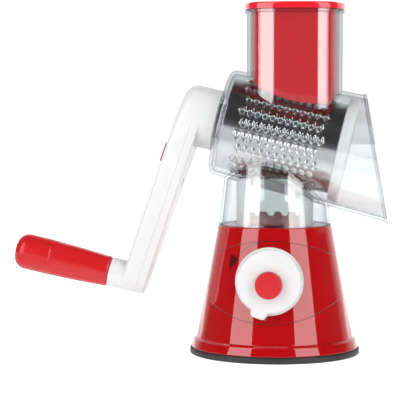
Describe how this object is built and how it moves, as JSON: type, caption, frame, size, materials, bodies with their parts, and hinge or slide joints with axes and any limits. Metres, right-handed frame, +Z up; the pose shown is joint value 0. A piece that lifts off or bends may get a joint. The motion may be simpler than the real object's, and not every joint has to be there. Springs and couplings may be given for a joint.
{
  "type": "rotary cabbage shredder",
  "caption": "Hand-cranked rotary shredder: toothed steel drum in a clear housing with feed chute and pusher, on a conical suction base with a locking knob.",
  "frame": {"origin": "centre of the rubber foot on the table", "axes": "+Z up, +X towards the mouth where the shreds fall out, -Y the side with the knob"},
  "size_m": [0.2906, 0.139, 0.2678],
  "materials": {
    "red_gloss": "injection-moulded ABS, high gloss",
    "red_soft": "injection-moulded polypropylene, semi-gloss",
    "white_gloss": "injection-moulded ABS, semi-gloss white",
    "clear_plastic": "clear styrene acrylonitrile, polished mould",
    "black_rubber": "soft moulded rubber, satin",
    "drum_steel": "bright rolled stainless sheet, punched",
    "inner_plastic": "grey acetal, unpolished",
    "screw_steel": "zinc-plated steel"
  },
  "bodies": {
    "stand": {"base_shell": "red_gloss", "base_plate": "inner_plastic", "base_screws": "screw_steel", "suction_cup": "black_rubber", "locking_turret": "red_soft", "clear_body": "clear_plastic"},
    "rotor": {"grater_drum": "drum_steel", "drum_hub": "white_gloss", "drum_end_ring": "white_gloss", "crank_arm": "white_gloss", "crank_cover": "white_gloss", "crank_screws": "screw_steel", "latch_spring": "screw_steel", "grip_axle": "screw_steel", "grip_washer": "screw_steel"},
    "grip": {"grip_sleeve": "red_soft", "grip_end_cap": "red_soft"},
    "release": {"release_slider": "red_soft"},
    "feeder": {"pusher": "red_soft"},
    "lock_knob": {"knob": "white_gloss", "knob_cap": "red_soft", "knob_screw": "screw_steel", "cam_shaft": "inner_plastic"},
    "stem": {"lift_stem": "inner_plastic"}
  },
  "joints": [
    {"name": "crank_turn", "type": "hinge", "parent": "stand", "child": "rotor", "pos_m": [0, 0, 0.1682], "axis": [0.9744, 0, -0.225], "continuous": true},
    {"name": "grip_spin", "type": "hinge", "parent": "rotor", "child": "grip", "pos_m": [-0.12848, 0, 0.06085], "axis": [0.9744, 0, -0.225], "continuous": true},
    {"name": "release_slide", "type": "slide", "parent": "rotor", "child": "release", "axis": [-0.225, 0, -0.9744], "range_m": [0, 0.003], "stiffness_N_per_m": 300, "springref_m": -0.004, "deforming": ["latch_spring"]},
    {"name": "pusher_lift", "type": "slide", "parent": "stand", "child": "feeder", "axis": [0, 0, 1], "range_m": [0, 0.075]},
    {"name": "knob_turn", "type": "hinge", "parent": "stand", "child": "lock_knob", "pos_m": [0, -0.0572, 0.059], "axis": [0, 1, 0], "range_deg": [0, 90]},
    {"name": "stem_lift", "type": "slide", "parent": "stand", "child": "stem", "axis": [0, 0, 1], "range_m": [0, 0.003], "deforming": ["suction_cup"]}
  ],
  "couplings": [
    {"joint": "stem_lift", "follows": "knob_turn", "m_per_rad": 0.0019099}
  ]
}
